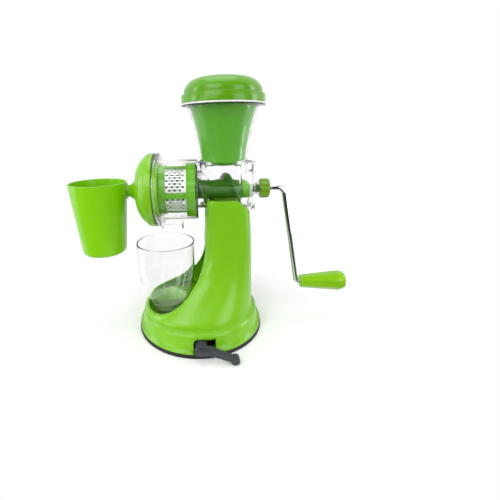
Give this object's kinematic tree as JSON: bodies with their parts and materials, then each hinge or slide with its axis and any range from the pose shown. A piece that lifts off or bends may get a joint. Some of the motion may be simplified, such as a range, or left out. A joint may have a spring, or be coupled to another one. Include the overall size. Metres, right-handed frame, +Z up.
{
  "type": "manual wheatgrass juicer",
  "caption": "Hand cranked auger juicer on a suction foot, with a clear juicing head, a hopper with a pusher, a pulp cup and a juice glass.",
  "frame": {"origin": "centre of the foot's underside, on the surface that the juicer stands on", "axes": "+X along the auger towards the crank, +Y to the back, +Z up"},
  "size_m": [0.3272, 0.1659, 0.2896],
  "materials": {
    "stand_plastic": "glossy green moulded plastic",
    "green_plastic": "glossy green moulded plastic",
    "cup_plastic": "glossy light green moulded plastic",
    "black_plastic": "black moulded plastic",
    "grey_plastic": "dark grey moulded plastic",
    "clear_plastic": "clear moulded plastic",
    "rubber": "black rubber",
    "seal_rubber": "pale silicone rubber",
    "steel": "stainless steel",
    "brass": "turned brass",
    "chrome": "polished chrome plate"
  },
  "bodies": {
    "stand": {"stand_shell": "stand_plastic", "well_floor": "stand_plastic", "base_plate": "black_plastic", "base_screws": "steel", "suction_ring": "rubber"},
    "pad_lift": {"suction_disc": "rubber", "suction_stem": "steel"},
    "lever": {"suction_lever": "grey_plastic", "cam_shaft": "steel"},
    "glass": {"juice_glass": "clear_plastic"},
    "head": {"juicer_housing": "clear_plastic", "strainer_frame": "green_plastic", "strainer_mesh": "steel", "shaft_seal": "seal_rubber"},
    "drive": {"auger": "green_plastic", "auger_shaft": "steel", "rear_bush": "green_plastic", "thrust_washer": "steel", "crank_nut": "green_plastic", "nut_insert": "brass", "crank_rod": "chrome", "grip_nut": "steel"},
    "hand_grip": {"grip": "green_plastic", "grip_plug": "green_plastic"},
    "pusher": {"pusher_body": "green_plastic", "pusher_cap": "green_plastic"},
    "cap": {"end_cap": "green_plastic", "cap_gasket": "seal_rubber"},
    "cup": {"waste_cup": "cup_plastic"}
  },
  "joints": [
    {"name": "suction_lever_turn", "type": "hinge", "parent": "stand", "child": "lever", "pos_m": [0, 0, 0.0125], "axis": [0.0279, -0.9996, 0], "range_deg": [0, 120]},
    {"name": "suction_lift", "type": "slide", "parent": "stand", "child": "pad_lift", "axis": [0, 0, 1], "range_m": [0, 0.00225]},
    {"name": "glass_lift", "type": "slide", "parent": "stand", "child": "glass", "axis": [0, 0, 1], "range_m": [0, 0.017]},
    {"name": "head_lift", "type": "slide", "parent": "stand", "child": "head", "axis": [0, 0, 1], "range_m": [0, 0.04]},
    {"name": "crank_turn", "type": "hinge", "parent": "head", "child": "drive", "pos_m": [0, 0, 0.171], "axis": [1, 0, 0], "continuous": true},
    {"name": "grip_spin", "type": "hinge", "parent": "drive", "child": "hand_grip", "pos_m": [0.15, 0, 0.0514], "axis": [1, 0, 0], "continuous": true},
    {"name": "pusher_lift", "type": "slide", "parent": "head", "child": "pusher", "axis": [0, 0, 1], "range_m": [0, 0.07]},
    {"name": "end_cap_pull", "type": "slide", "parent": "head", "child": "cap", "axis": [-1, 0, 0], "range_m": [0, 0.03]},
    {"name": "waste_cup_swing", "type": "hinge", "parent": "cap", "child": "cup", "pos_m": [-0.085, 0, 0.171], "axis": [1, 0, 0], "continuous": true}
  ],
  "couplings": [
    {"joint": "suction_lever_turn", "follows": "suction_lift", "rad_per_m": 930.84}
  ]
}
